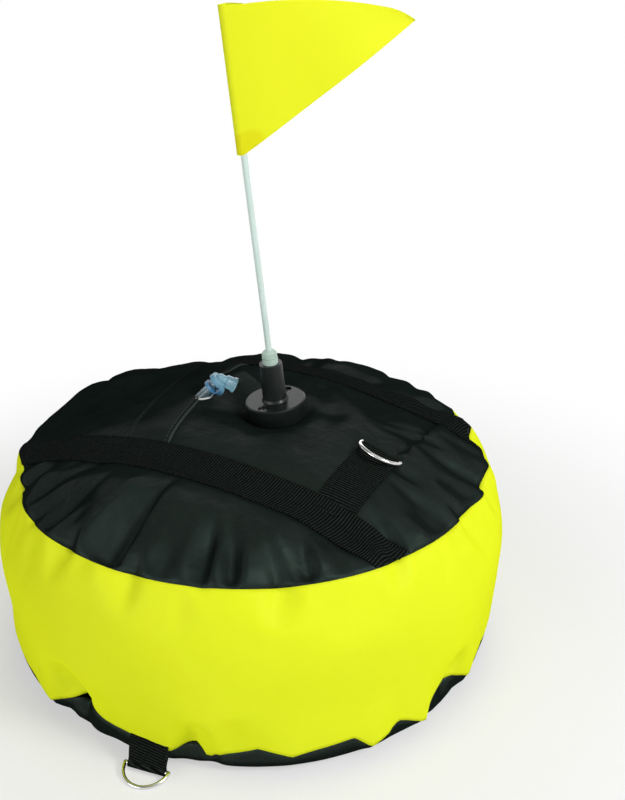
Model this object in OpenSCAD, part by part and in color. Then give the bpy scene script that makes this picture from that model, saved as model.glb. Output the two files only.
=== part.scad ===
// Inflatable marker buoy: a drum float sewn from a black top, a bright side band and a black base over
// an air bladder, with webbing straps, two D-rings, an inflation valve and a screw-in mast with a pennant.
// Frame: origin on the float's axis at the floor, +Z up, +X along the two webbing straps.

/* [Float] */
// radius at the widest part of the side band
float_r = 200; // [120:1:320]
// height of the widest part of the side band
belly_z = 99; // [70:1:130]
// how far the seam between the top and the side band draws in from the widest part
top_seam_in = 18.5; // [10:0.5:30]
// height of that seam
top_seam_z = 155.5; // [135:0.5:190]
// how far the seam between the side band and the base draws in from the widest part
low_seam_in = 8; // [3:0.5:15]
// height of that seam
low_seam_z = 21.5; // [14:0.5:35]
// how far the flat that stands on the floor draws in from the lower seam
foot_in = 25; // [20:0.5:40]
// rise of the crown above the upper seam
crown_rise = 46; // [30:0.5:70]
// thickness of the sewn cover with its lining
cover_t = 2; // [1:0.1:4]
// wall of the air bladder
bladder_t = 0.8; // [0.5:0.1:2]

/* [Webbing] */
// width of the webbing
web_w = 30; // [20:1:50]
// thickness of one layer of webbing
web_t = 1.3; // [0.8:0.1:2.5]
// place of the line midway between the two straps
strap_mid = 11.5; // [-40:0.5:40]
// distance from that line to the middle of each strap
strap_off = 92.5; // [60:1:140]
// how far the ring tab's middle lies in from the widest part of the float
tab_in = 89; // [70:1:120]
// place of the top ring's bar across the straps
bar_y = 3.5; // [-20:0.5:40]

/* [Closure flap] */
// width of the flap that covers the opening
flap_w = 40; // [25:1:60]
// thickness of the flap
flap_t = 1.2; // [0.8:0.1:2.5]
// place of the flap's middle along the straps
flap_x = -64.5; // [-100:1:-40]
// turn of the flap against the straps
flap_turn = 11.5; // [0:0.5:20]

/* [D-rings] */
// radius of the ring wire
wire_r = 1.5; // [1:0.1:3]
// room on each side of the webbing inside the ring
ring_room = 0.5; // [0.2:0.1:2]
// clearance of the ring's bar in the webbing loop
bar_clear = 0.08; // [0.02:0.01:0.1]
// rise of the top ring above the tab that it lies back on, in degrees
top_ring_rise = 20; // [10:1:60]
// direction of the lower ring seen from above, in degrees
low_ring_az = -80.5; // [-180:0.5:180]
// how far the lower ring's bar lies outside the lower seam
low_bar_out = 5.5; // [3:0.5:12]
// height of the lower ring's bar
low_bar_z = 4.5; // [4:0.1:15]

/* [Mast socket] */
// place of the socket on the top, along the straps
mast_x = 17.5; // [-40:0.5:40]
// place of the socket on the top, across the straps
mast_y = 10.5; // [-40:0.5:40]
// lean of the mast from upright, in degrees
mast_lean = 6; // [0:0.1:12]
// direction in which the mast leans, seen from above, in degrees
mast_lean_az = 213; // [0:1:360]
// radius of the flange
flange_r = 23.5; // [18:0.5:35]
// thickness of the flange
flange_t = 13; // [8:0.5:20]
// depth to which the flange sinks into the soft top
flange_sink = 8.5; // [6:0.1:12]
// widening of the dish in the top over the thickness of the flange
dish_flare = 20; // [8:0.5:26]
// radius of the boss at its foot
boss_r = 9.4; // [8:0.1:16]
// radius of the boss at its mouth
boss_top_r = 8.7; // [7.5:0.1:15]
// height of the boss above the flange
boss_h = 30.5; // [18:0.5:45]
// distance of the two screws from the middle of the flange
screw_off = 17; // [14:0.5:27]

/* [Mast] */
// radius of the ferrule's stud in the socket
stud_r = 4; // [3:0.1:6]
// depth of the stud in the socket
stud_h = 26; // [12:0.5:40]
// radius of the ferrule's shoulder
ferrule_r = 6; // [5:0.1:9]
// height of the ferrule above the socket
ferrule_h = 11; // [7:0.5:20]
// radius of the fibreglass rod
rod_r = 2.3; // [1.5:0.1:3]
// height of the rod's tip above the flange's underside, along the mast
rod_top = 307.5; // [180:1:500]

/* [Pennant] */
// height of the pennant along the mast
hoist = 101; // [60:1:180]
// reach of the pennant from the mast
fly = 129; // [70:1:240]
// drop of the pennant's tip below its upper corner
tip_drop = 27; // [5:1:45]
// height of the blunt tip
tip_h = 4.4; // [1:0.1:12]
// rise of the upper edge above its chord
edge_rise = 7; // [1:0.5:12]
// thickness of the cloth
cloth_t = 1; // [0.6:0.1:2]
// radius to which the cloth curls
curl_r = 420; // [250:10:1200]

/* [Valve] */
// place of the valve on the top, along the straps
valve_x = -41; // [-80:1:0]
// place of the valve on the top, across the straps
valve_y = -6; // [-40:1:40]
// lean of the valve stem, in degrees
valve_lean = 45; // [0:1:60]
// direction in which the stem leans, seen from above, in degrees
valve_lean_az = 33; // [0:1:360]
// outer radius of the stem
stem_r = 4.5; // [3:0.1:7]
// length of the stem above the top
stem_h = 17; // [10:0.5:30]
// lean of the plug's soft end against the stem, in degrees
plug_tilt = 72; // [0:1:80]

/* [Hidden] */
$fn = 96;
e = 0.01;
// the seams and the foot follow the widest part
top_seam_r = float_r - top_seam_in;
low_seam_r = float_r - low_seam_in;
foot_r = low_seam_r - foot_in;
low_bar_r = low_seam_r + low_bar_out;
// the crown is one ball cap through the seam and the apex
crown_z = top_seam_z + crown_rise;
crown_rad = (top_seam_r * top_seam_r + crown_rise * crown_rise) / (2 * crown_rise);
// the side band is two arcs that meet upright at the belly
up_h = top_seam_z - belly_z;
up_s = float_r - top_seam_r;
up_rad = (up_h * up_h + up_s * up_s) / (2 * up_s);
low_h = belly_z - low_seam_z;
low_s = float_r - low_seam_r;
low_rad = (low_h * low_h + low_s * low_s) / (2 * low_s);
// the toe is an arc that leaves the floor at the foot and meets the lower seam
toe_w = low_seam_r - foot_r;
toe_rad = (toe_w * toe_w + low_seam_z * low_seam_z) / (2 * low_seam_z);
// the straps stand at equal distances from the line between them
front_y = strap_mid - strap_off;
rear_y = strap_mid + strap_off;
tab_x = float_r - tab_in;
tab_t = 2 * web_t;
// the webbing loop round a ring's bar
loop_in = wire_r + bar_clear;
loop_out = loop_in + web_t;
ring_r = web_w / 2 + ring_room + wire_r;
// the lower ring lies with its bow on the floor
low_ring_dip = asin((low_bar_z - wire_r) / ring_r);
seat_clear = 0.6;
// the stem's root inside the cover, and how far cuts run past what they cut
stem_root = 12;
cut_over = 8;
socket_clear = 0.05;
shoulder_gap = 0.1;
boss_top = flange_t + boss_h;
sleeve_in = rod_r + 0.06;
sleeve_out = sleeve_in + cloth_t;
sleeve_foot = rod_top - hoist;
screw_r = 1.7;
head_r = 3.4;
bore_r = stem_r - 1.6;

// height of the top above the floor at a place seen from above
function crown_at(x, y) = crown_z - crown_rad + sqrt(crown_rad * crown_rad - x * x - y * y);

// the ball that the crown is a cap of, laid over so that its poles stay off the crown
module crown_ball(r) {
  translate([0, 0, crown_z - crown_rad]) rotate([90, 0, 0]) sphere(r = r, $fn = 180);
}

// half of the float's outline below the crown, moved inwards by d
module half_outline(d) {
  intersection() {
    translate([0, belly_z]) square([float_r, crown_z]);
    union() {
      translate([float_r - up_rad, belly_z]) circle(r = up_rad - d, $fn = 180);
      translate([0, belly_z]) square([float_r - up_rad, crown_z]);
    }
  }
  intersection() {
    translate([float_r - low_rad, belly_z]) circle(r = low_rad - d, $fn = 180);
    translate([0, low_seam_z]) square([float_r, low_h]);
  }
  intersection() {
    translate([foot_r, toe_rad]) circle(r = toe_rad - d, $fn = 180);
    translate([foot_r, 0]) square([toe_rad, low_seam_z]);
  }
  translate([0, d]) square([foot_r, low_seam_z - d]);
}

// the whole float as a solid, moved inwards by d
module float_solid(d) {
  intersection() {
    rotate_extrude($fn = 180) half_outline(d);
    crown_ball(crown_rad - d);
  }
}

// the space of the float between two heights
module slice(z0, z1) {
  translate([0, 0, z0]) cylinder(r = 2 * float_r, h = z1 - z0);
}

// a frame on the top, its z axis square to the surface
module on_top(x, y, h) {
  tilt = -asin(y / crown_rad);
  roll = asin(x / (crown_rad * cos(tilt)));
  translate([0, 0, crown_z - crown_rad])
    rotate([tilt, roll, 0])
      translate([0, 0, crown_rad + h])
        children();
}

// a skin of a given thickness lying on the top
module top_skin(t) {
  difference() {
    crown_ball(crown_rad + t);
    crown_ball(crown_rad);
    translate([0, 0, -2 * crown_rad + top_seam_z]) cylinder(r = 3 * crown_rad, h = 2 * crown_rad);
  }
}

// the mast's frame: origin at the middle of the flange's underside
module on_mast(s = 0) {
  translate([mast_x, mast_y, crown_at(mast_x, mast_y) - flange_sink])
    rotate([0, mast_lean, mast_lean_az])
      translate([0, 0, s])
        children();
}

// the dish that the flange presses into the top
module flange_dish(d) {
  // the flank moves square to itself, as the floor does
  foot = flange_r + seat_clear + d * tan((90 - atan(dish_flare / flange_t)) / 2);
  on_mast(-d) cylinder(r1 = foot, r2 = foot + 2 * dish_flare, h = 2 * flange_t);
}

// the float with the dish in its top, moved inwards by d
module pressed_float(d) {
  difference() {
    float_solid(d);
    flange_dish(d);
  }
}

// the two screws' places on the flange, front and back
module at_screws() {
  for (side = [-1, 1])
    on_mast(0) rotate([0, 0, -mast_lean_az]) translate([0, side * screw_off, 0]) children();
}

// the valve's frame: origin on the top, z along the stem
module on_valve(s = 0) {
  translate([valve_x, valve_y, crown_at(valve_x, valve_y)])
    rotate([0, valve_lean, valve_lean_az])
      translate([0, 0, s])
        children();
}

// a D-ring: bar along x through the origin, bow towards -y
module d_ring() {
  rotate([0, 0, 180]) rotate_extrude(angle = 180) translate([ring_r, 0]) circle(r = wire_r, $fn = 32);
  rotate([0, 90, 0]) cylinder(r = wire_r, h = 2 * ring_r, center = true, $fn = 32);
  for (side = [-1, 1]) translate([side * ring_r, 0, 0]) sphere(r = wire_r, $fn = 32);
}

// the fold of webbing round a ring's bar
module web_loop() {
  rotate([0, 90, 0])
    difference() {
      cylinder(r = loop_out, h = web_w, center = true, $fn = 48);
      cylinder(r = loop_in, h = web_w + 2, center = true, $fn = 48);
    }
}

// the lower ring's frame: bar along x, z up, -y outwards
module on_low_bar() {
  rotate([0, 0, low_ring_az + 90]) translate([0, -low_bar_r, low_bar_z]) children();
}

module air_bladder() {
  color([0.55, 0.72, 0.82])
    difference() {
      pressed_float(cover_t);
      pressed_float(cover_t + bladder_t);
    }
}

module top_panel() {
  color([0.06, 0.08, 0.075])
    difference() {
      intersection() {
        crown_ball(crown_rad);
        slice(top_seam_z, 2 * crown_z);
      }
      difference() {
        crown_ball(crown_rad - cover_t);
        flange_dish(cover_t);
      }
      flange_dish(0);
      at_screws() translate([0, 0, -2 * cover_t]) cylinder(r = screw_r + 0.05, h = 4 * cover_t);
      on_valve(-stem_root - cut_over) cylinder(r = stem_r + 0.1, h = 2 * (stem_root + cut_over));
    }
}

module side_band() {
  color([0.89, 0.95, 0.15])
    difference() {
      intersection() {
        float_solid(0);
        slice(low_seam_z, top_seam_z);
      }
      float_solid(cover_t);
    }
}

module base_panel() {
  color([0.06, 0.08, 0.075])
    difference() {
      intersection() {
        float_solid(0);
        slice(-1, low_seam_z);
      }
      float_solid(cover_t);
    }
}

// a strap across the top from seam to seam
module strap(y) {
  intersection() {
    top_skin(web_t);
    translate([-float_r, y - web_w / 2, 0]) cube([2 * float_r, web_w, 2 * crown_z]);
  }
}

module strap_front() {
  color([0.05, 0.06, 0.06]) strap(front_y);
}

module strap_rear() {
  color([0.05, 0.06, 0.06]) strap(rear_y);
}

module closure_flap() {
  color([0.07, 0.085, 0.08])
    difference() {
      intersection() {
        top_skin(flap_t);
        translate([flap_x, strap_mid, 0])
          rotate([0, 0, flap_turn])
            translate([-flap_w / 2, -2 * strap_off, 0])
              cube([flap_w, 4 * strap_off, 2 * crown_z]);
        translate([-float_r, front_y + web_w / 2, 0])
          cube([2 * float_r, 2 * strap_off - web_w, 2 * crown_z]);
      }
      on_valve(-stem_root - cut_over) cylinder(r = stem_r + 1, h = stem_root + stem_h + 2 * cut_over);
    }
}

module ring_tab_top() {
  tab_l = bar_y - front_y;
  color([0.05, 0.06, 0.06]) {
    difference() {
      intersection() {
        top_skin(tab_t);
        on_top(tab_x, bar_y, 0) translate([-web_w / 2, -2 * tab_l, -crown_rise])
          cube([web_w, 2 * tab_l, 2 * crown_rise]);
        translate([0, front_y + web_w / 2, 0]) cube([2 * float_r, 2 * float_r, 2 * crown_z]);
      }
      on_top(tab_x, bar_y, loop_out)
        rotate([0, 90, 0]) cylinder(r = loop_in, h = 2 * web_w, center = true, $fn = 48);
    }
    difference() {
      on_top(tab_x, bar_y, loop_out) web_loop();
      float_solid(0);
    }
  }
}

module ring_top() {
  color([0.78, 0.79, 0.8])
    on_top(tab_x, bar_y, loop_out) rotate([-top_ring_rise, 0, 0]) d_ring();
}

module ring_tab_low() {
  // the tab aims at the seam and runs on a little inside the cover
  reach = low_bar_r - low_seam_r + web_t;
  rise = low_seam_z - low_bar_z;
  color([0.05, 0.06, 0.06])
    difference() {
      on_low_bar()
        rotate([90, 0, 90])
          translate([0, 0, -web_w / 2])
            linear_extrude(web_w)
              difference() {
                union() {
                  circle(r = loop_out, $fn = 48);
                  rotate(-atan(reach / rise)) translate([-web_t, 0]) square([tab_t, 1.5 * rise]);
                }
                circle(r = loop_in, $fn = 48);
              }
      float_solid(0);
    }
}

module ring_low() {
  color([0.78, 0.79, 0.8]) on_low_bar() rotate([low_ring_dip, 0, 0]) d_ring();
}

module mast_socket() {
  collar_h = 2;
  color([0.1, 0.13, 0.12])
    on_mast(0)
      difference() {
        union() {
          cylinder(r = flange_r, h = flange_t - 1);
          translate([0, 0, flange_t - 1]) cylinder(r1 = flange_r, r2 = flange_r - 1, h = 1);
          translate([0, 0, flange_t - e]) cylinder(r1 = boss_r + 1, r2 = boss_r, h = collar_h);
          translate([0, 0, flange_t - e]) cylinder(r1 = boss_r, r2 = boss_top_r, h = boss_h + e);
        }
        translate([0, 0, boss_top - stud_h - 2]) cylinder(r = stud_r + socket_clear, h = stud_h + 3);
        for (side = [-1, 1])
          rotate([0, 0, -mast_lean_az]) translate([0, side * screw_off, 0]) {
            translate([0, 0, -1]) cylinder(r = screw_r + 0.05, h = flange_t + 2);
            translate([0, 0, flange_t - 4]) cylinder(r = head_r + 0.8, h = 6);
          }
      }
}

module socket_screws() {
  color([0.7, 0.71, 0.72])
    at_screws() {
      translate([0, 0, 0.3 - cover_t]) cylinder(r = screw_r, h = flange_t - 4 + cover_t);
      translate([0, 0, flange_t - 4])
        difference() {
          cylinder(r = head_r, h = 2.2);
          for (turn = [0, 90]) rotate([0, 0, turn]) translate([-2, -0.4, 1.2]) cube([4, 0.8, 2]);
        }
    }
}

module mast_ferrule() {
  ridges = 3;
  ridge_p = 1.6;
  cone_h = 1.6;
  body_h = ferrule_h - cone_h;
  color([0.78, 0.88, 0.83])
    on_mast(boss_top + shoulder_gap)
      difference() {
        union() {
          translate([0, 0, -stud_h]) cylinder(r = stud_r, h = stud_h + 1);
          cylinder(r = ferrule_r, h = body_h - ridges * ridge_p);
          for (i = [0 : ridges - 1])
            translate([0, 0, body_h - (ridges - i) * ridge_p]) {
              cylinder(r1 = ferrule_r - 0.8, r2 = ferrule_r - 0.2, h = ridge_p / 2);
              translate([0, 0, ridge_p / 2]) cylinder(r1 = ferrule_r - 0.2, r2 = ferrule_r - 0.8, h = ridge_p / 2);
            }
          translate([0, 0, body_h]) cylinder(r1 = ferrule_r - 0.8, r2 = rod_r + 1, h = cone_h);
        }
        translate([0, 0, -stud_h + 4]) cylinder(r = rod_r, h = stud_h + ferrule_h);
      }
}

module mast_rod() {
  foot = boss_top + shoulder_gap - stud_h + 4;
  color([0.82, 0.9, 0.86])
    on_mast(foot) cylinder(r = rod_r, h = rod_top - foot);
}

module pennant() {
  edge_drop = tip_drop - tip_h;
  chord = norm([fly, edge_drop]);
  arc_r = (chord * chord / 4 + edge_rise * edge_rise) / (2 * edge_rise);
  mid = [fly / 2, rod_top - edge_drop / 2];
  down = [-edge_drop, -fly] / chord;
  color([0.93, 0.96, 0.2])
    on_mast(0)
      rotate([0, 0, 180])
        difference() {
          union() {
            intersection() {
              linear_extrude(2 * rod_top)
                translate([0, curl_r])
                  difference() {
                    circle(r = curl_r + cloth_t / 2, $fn = 180);
                    circle(r = curl_r - cloth_t / 2, $fn = 180);
                  }
              rotate([90, 0, 0])
                translate([0, 0, -fly])
                  linear_extrude(2 * fly)
                    intersection() {
                      polygon([[0, sleeve_foot], [fly, rod_top - tip_drop], [fly, 2 * rod_top], [0, 2 * rod_top]]);
                      translate(mid + (arc_r - edge_rise) * down) circle(r = arc_r, $fn = 180);
                    }
            }
            translate([0, 0, sleeve_foot]) cylinder(r = sleeve_out, h = hoist + 0.3 + cloth_t, $fn = 48);
          }
          translate([0, 0, sleeve_foot - 1]) cylinder(r = sleeve_in, h = hoist + 1.3, $fn = 48);
        }
}

module valve_stem() {
  color([0.62, 0.78, 0.86])
    difference() {
      union() {
        on_valve(-stem_root) cylinder(r = stem_r, h = stem_root + stem_h);
        on_valve(stem_h - 2) cylinder(r = stem_r + 0.8, h = 2);
      }
      on_valve(-stem_root - cut_over) cylinder(r = bore_r, h = stem_root + stem_h + 2 * cut_over);
      float_solid(cover_t);
    }
}

module valve_plug() {
  // the plug's head and soft end, the ring round the stem and the strap that joins them
  head_t = 4;
  end_r = 5.4;
  end_h = 8;
  ring_t = 2.6;
  neck_s = stem_h - 7;
  tether_t = 1.1;
  tether_r = (stem_h + head_t / 2 - neck_s - ring_t / 2) / 2;
  color([0.3, 0.5, 0.78]) {
    on_valve(stem_h) {
      translate([0, 0, -8]) cylinder(r = bore_r - 0.1, h = 9);
      cylinder(r1 = stem_r + 3.2, r2 = stem_r + 2.6, h = head_t);
      translate([0, 0, head_t]) {
        sphere(r = end_r - 1, $fn = 48);
        rotate([0, plug_tilt, 0]) {
          cylinder(r = end_r - 1.2, h = end_r);
          translate([0, 0, end_r - 1]) cylinder(r = end_r, h = end_h);
          translate([0, 0, end_r + end_h - 2.8]) cylinder(r = end_r + 0.8, h = 1.8);
        }
      }
    }
    on_valve(neck_s)
      difference() {
        cylinder(r = stem_r + 2.2, h = ring_t);
        translate([0, 0, -1]) cylinder(r = stem_r + 0.1, h = ring_t + 2);
      }
    on_valve(neck_s + ring_t / 2 + tether_r)
      rotate([0, 0, -60])
        translate([stem_r + 1.4, 0, 0])
          rotate([90, 0, 0])
            rotate([0, 0, -90])
              rotate_extrude(angle = 180)
                translate([tether_r - tether_t / 2, -2.5]) square([tether_t, 5]);
  }
}

air_bladder();
top_panel();
side_band();
base_panel();
strap_front();
strap_rear();
closure_flap();
ring_tab_top();
ring_top();
ring_tab_low();
ring_low();
mast_socket();
socket_screws();
mast_ferrule();
mast_rod();
pennant();
valve_stem();
valve_plug();
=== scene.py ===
import math

import bpy
import numpy as np
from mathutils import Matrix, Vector
from mathutils.bvhtree import BVHTree


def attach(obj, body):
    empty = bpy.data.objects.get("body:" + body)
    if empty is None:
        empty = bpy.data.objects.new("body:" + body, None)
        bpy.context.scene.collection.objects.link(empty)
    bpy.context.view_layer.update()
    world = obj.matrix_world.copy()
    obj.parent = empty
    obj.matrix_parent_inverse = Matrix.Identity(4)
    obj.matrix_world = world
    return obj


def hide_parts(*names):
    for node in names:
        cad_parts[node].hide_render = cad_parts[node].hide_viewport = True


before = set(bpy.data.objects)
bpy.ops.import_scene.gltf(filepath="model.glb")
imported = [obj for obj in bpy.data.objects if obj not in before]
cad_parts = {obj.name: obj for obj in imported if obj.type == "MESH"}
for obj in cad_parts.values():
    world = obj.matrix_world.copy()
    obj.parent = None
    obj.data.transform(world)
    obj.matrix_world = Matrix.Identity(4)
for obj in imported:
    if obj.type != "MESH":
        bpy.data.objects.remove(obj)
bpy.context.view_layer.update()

# Float cover: a drum of coated polyester, sewn from a black top disc, a bright side band and a black base disc.
# The discs are cut flat and the bladder blows the drum tight, so the cloth gathers into pleats at both seams.
FLOAT_R, BELLY_Z = 0.200, 0.099
TOP_SEAM_R, TOP_SEAM_Z = 0.1815, 0.1555
LOW_SEAM_R, LOW_SEAM_Z = 0.192, 0.0215
FOOT_R, CROWN_Z = 0.173, 0.2015
CUT_R, CUT_H = 0.200, 0.140
AROUND, BAND_ROWS, DISC_RINGS = 180, 20, 22
COVER_T, UNEVEN_R, UNEVEN_Z, BLOW_FRAMES = 0.0012, 0.0015, 0.0006, 45
# Two spots off the float's axis. The drum's parts are put in order by their distance from them.
ORDER_SPOTS = ((0.731, 0.377, 0.219), (-0.523, 0.811, 0.137))


def pick(piece):
    bpy.ops.object.select_all(action="DESELECT")
    piece.select_set(True)
    bpy.context.view_layer.objects.active = piece


def points_of(piece):
    flat = np.empty(len(piece.data.vertices) * 3, np.float32)
    piece.data.vertices.foreach_get("co", flat)
    return flat.reshape(-1, 3).astype(float)


def put_points(piece, points):
    piece.data.vertices.foreach_set("co", np.asarray(points, np.float32).ravel())
    piece.data.update()


def finish_with(piece, kind, **settings):
    pick(piece)
    step = piece.modifiers.new(kind.title(), kind)
    for key, value in settings.items():
        setattr(step, key, value)
    bpy.ops.object.modifier_apply(modifier=step.name)


def ease(low, high, x):
    t = np.clip((np.asarray(x, float) - low) / (high - low), 0, 1)
    return t * t * (3 - 2 * t)


bpy.ops.object.select_all(action="DESELECT")
bpy.ops.mesh.primitive_cylinder_add(vertices=AROUND, radius=CUT_R, depth=CUT_H, end_fill_type="NGON")
drum = bpy.context.object
bpy.ops.object.mode_set(mode="EDIT")
for row in range(1, BAND_ROWS):
    bpy.ops.mesh.select_all(action="SELECT")
    bpy.ops.mesh.bisect(plane_co=(0, 0, CUT_H * (row / BAND_ROWS - 0.5)), plane_no=(0, 0, 1))
bpy.ops.mesh.select_all(action="DESELECT")
bpy.ops.mesh.select_mode(type="FACE")
bpy.ops.object.mode_set(mode="OBJECT")
for side in (1, -1):
    for face in drum.data.polygons:
        face.select = face.normal.z * side > 0.9
    bpy.ops.object.mode_set(mode="EDIT")
    for ring in range(DISC_RINGS, 0, -1):
        bpy.ops.mesh.extrude_region()
        shrink = ring / (ring + 1)
        bpy.ops.transform.resize(value=(shrink, shrink, 1), center_override=(0, 0, side * CUT_H / 2))
    bpy.ops.mesh.poke()
    bpy.ops.mesh.select_all(action="DESELECT")
    bpy.ops.object.mode_set(mode="OBJECT")
    for face in drum.data.polygons:
        face.select = False
# The drum's points, edges and faces get one fixed order, so that the cloth blows up the same way each time.
bpy.ops.object.mode_set(mode="EDIT")
bpy.ops.mesh.select_all(action="SELECT")
for spot in ORDER_SPOTS:
    bpy.context.scene.cursor.location = spot
    bpy.ops.mesh.sort_elements(type="CURSOR_DISTANCE", elements={"VERT", "EDGE", "FACE"})
bpy.ops.mesh.select_all(action="DESELECT")
bpy.ops.object.mode_set(mode="OBJECT")
bpy.context.scene.cursor.location = (0, 0, 0)
edge_ends = np.empty(len(drum.data.edges) * 2, np.int32)
drum.data.edges.foreach_get("vertices", edge_ends)
drum.data.edges.foreach_set("vertices", np.sort(edge_ends.reshape(-1, 2), axis=1).ravel())
drum.data.update()
panel_of = np.array([0 if f.normal.z > 0.9 else 2 if f.normal.z < -0.9 else 1 for f in drum.data.polygons])

# The cut cloth is never quite even, and that is where its pleats start.
cut = points_of(drum)
uneven = np.random.default_rng(7)
turn = np.arctan2(cut[:, 1], cut[:, 0])
slack = np.zeros(len(cut))
for waves in range(9, 70):
    slack += (uneven.normal() / 8
              * np.cos(waves * turn + uneven.uniform(0, 6.28) + 12 * cut[:, 2] * uneven.normal()))
ready = cut.copy()
ready[:, :2] *= 1 + UNEVEN_R * slack[:, None]
ready[:, 2] += UNEVEN_Z * slack
put_points(drum, ready)
pick(drum)
cloth = drum.modifiers.new("Cloth", "CLOTH")
cloth.settings.quality = 5
cloth.settings.mass = 0.3
cloth.settings.tension_stiffness = cloth.settings.compression_stiffness = 40
cloth.settings.shear_stiffness = 10
cloth.settings.bending_stiffness = 3
cloth.settings.air_damping = 1
cloth.settings.use_pressure = True
cloth.settings.uniform_pressure_force = 10
cloth.settings.effector_weights.gravity = 0
cloth.collision_settings.use_collision = False
cloth.point_cache.frame_end = BLOW_FRAMES
for moment in range(1, BLOW_FRAMES + 1):
    bpy.context.scene.frame_set(moment)
bpy.ops.object.modifier_apply(modifier=cloth.name)
bpy.context.scene.frame_set(1)
blown = points_of(drum)

# Each ring of the blown cloth keeps its own pleats and settles on the float's true outline.
cut_r = np.hypot(cut[:, 0], cut[:, 1])
on_band = np.abs(cut_r - CUT_R) < 1e-4
on_top = ~on_band & (cut[:, 2] > 0)
on_base = ~on_band & (cut[:, 2] < 0)
band_u = cut[:, 2] / CUT_H + 0.5
disc_u = cut_r / CUT_R
ring_key = np.where(on_band, np.rint(band_u * BAND_ROWS),
                    np.rint(disc_u * (DISC_RINGS + 1)) + np.where(on_top, 100, 200)).astype(int)


def less_ring_mean(values):
    total, count = np.bincount(ring_key, values), np.bincount(ring_key)
    return values - (total / np.maximum(count, 1))[ring_key]


pleat_r = less_ring_mean(np.hypot(blown[:, 0], blown[:, 1]))
pleat_z = less_ring_mean(blown[:, 2])
angle = np.arctan2(blown[:, 1], blown[:, 0])

crown_rise = CROWN_Z - TOP_SEAM_Z
crown_rad = (TOP_SEAM_R ** 2 + crown_rise ** 2) / (2 * crown_rise)
up_h, up_s = TOP_SEAM_Z - BELLY_Z, FLOAT_R - TOP_SEAM_R
up_rad = (up_h ** 2 + up_s ** 2) / (2 * up_s)
low_h, low_s = BELLY_Z - LOW_SEAM_Z, FLOAT_R - LOW_SEAM_R
low_rad = (low_h ** 2 + low_s ** 2) / (2 * low_s)
toe_w = LOW_SEAM_R - FOOT_R
toe_rad = (toe_w ** 2 + LOW_SEAM_Z ** 2) / (2 * LOW_SEAM_Z)

crown_turn = disc_u * math.asin(TOP_SEAM_R / crown_rad)
low_turn, up_turn = math.asin(low_h / low_rad), math.asin(up_h / up_rad)
band_run = band_u * (low_rad * low_turn + up_rad * up_turn) - low_rad * low_turn
below = band_run < 0
bend_rad = np.where(below, low_rad, up_rad)
toe_turn = math.acos(1 - LOW_SEAM_Z / toe_rad)
base_run = disc_u * (FOOT_R + toe_rad * toe_turn)
toe_angle = np.maximum(base_run - FOOT_R, 0) / toe_rad
out_r = np.where(on_band, FLOAT_R - bend_rad * (1 - np.cos(band_run / bend_rad)),
                 np.where(on_top, crown_rad * np.sin(crown_turn),
                          np.minimum(base_run, FOOT_R) + toe_rad * np.sin(toe_angle)))
out_z = np.where(on_band, BELLY_Z + bend_rad * np.sin(band_run / bend_rad),
                 np.where(on_top, CROWN_Z - crown_rad * (1 - np.cos(crown_turn)),
                          toe_rad * (1 - np.cos(toe_angle))))
keep = np.where(on_band, 1.0, np.where(on_top, ease(0.25, 0.9, disc_u), ease(0.8, 1.0, disc_u)))
# The upper seam wanders at both sides, and the cloth behind the mast stands up in corners: each pair is a direction
# in degrees and a shift outwards or upwards in millimetres.
SEAM_WANDER = ((0, 0), (4, 0), (11, 5.5), (19, 0), (25, 5), (30, 0), (36, -6), (44, 0), (200, 0), (206, 2.5),
               (215, -5), (223, 0), (232, -3), (240, 0))
RIM_CORNERS = ((24, 0), (40, 6), (46, 4.5), (52, 3), (60, 1.5), (76, 2), (80, 3.5), (85, 6), (90, 7), (95, 4.5),
               (102, 1), (116, 0), (130, 0), (142, -2.5), (152, 0.5), (160, 3.5), (172, 6), (177, 2), (182, -2),
               (190, -4), (198, -5), (206, -3), (214, 0))
whole_turn = np.degrees(angle) % 360
wander = np.interp(whole_turn, *zip(*SEAM_WANDER), period=360) / 1000
corner = np.interp(whole_turn, *zip(*RIM_CORNERS), period=360) / 1000
near_seam = np.where(on_band, ease(0.78, 1.0, band_u), np.where(on_top, ease(0.84, 1.0, disc_u), 0))
near_rim = np.where(on_band, ease(0.5, 1.0, band_u), np.where(on_top, ease(0.6, 0.97, disc_u), 0))
out_r = out_r + keep * pleat_r + near_seam * wander
low_part = np.where(on_band, 1 - ease(0.0, 0.32, band_u), np.where(on_base, ease(0.86, 1.0, disc_u), 0))
out_z = out_z + keep * pleat_z * (1 - low_part) + near_rim * corner
out_z = np.maximum(out_z, 0.0)
blown[:, 0], blown[:, 1], blown[:, 2] = out_r * np.cos(angle), out_r * np.sin(angle), out_z
put_points(drum, blown)
seam_ring = ring_key == BAND_ROWS
seam_order = np.argsort(angle[seam_ring])
seam_angle, seam_r = angle[seam_ring][seam_order], out_r[seam_ring][seam_order]


def cut_off(piece, chosen, name):
    pick(piece)
    for face, take in zip(piece.data.polygons, chosen):
        face.select = bool(take)
    bpy.ops.object.mode_set(mode="EDIT")
    bpy.ops.mesh.separate(type="SELECTED")
    bpy.ops.object.mode_set(mode="OBJECT")
    part = [o for o in bpy.context.selected_objects if o != piece][0]
    part.name = part.data.name = name
    return part


cover_band = cut_off(drum, panel_of == 1, "cover_band")
cover_base = cut_off(drum, panel_of[panel_of != 1] == 2, "cover_base")
cover_top = drum
cover_top.name = cover_top.data.name = "cover_top"
for panel in (cover_top, cover_band, cover_base):
    finish_with(panel, "SUBSURF", levels=1, render_levels=1)

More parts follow.
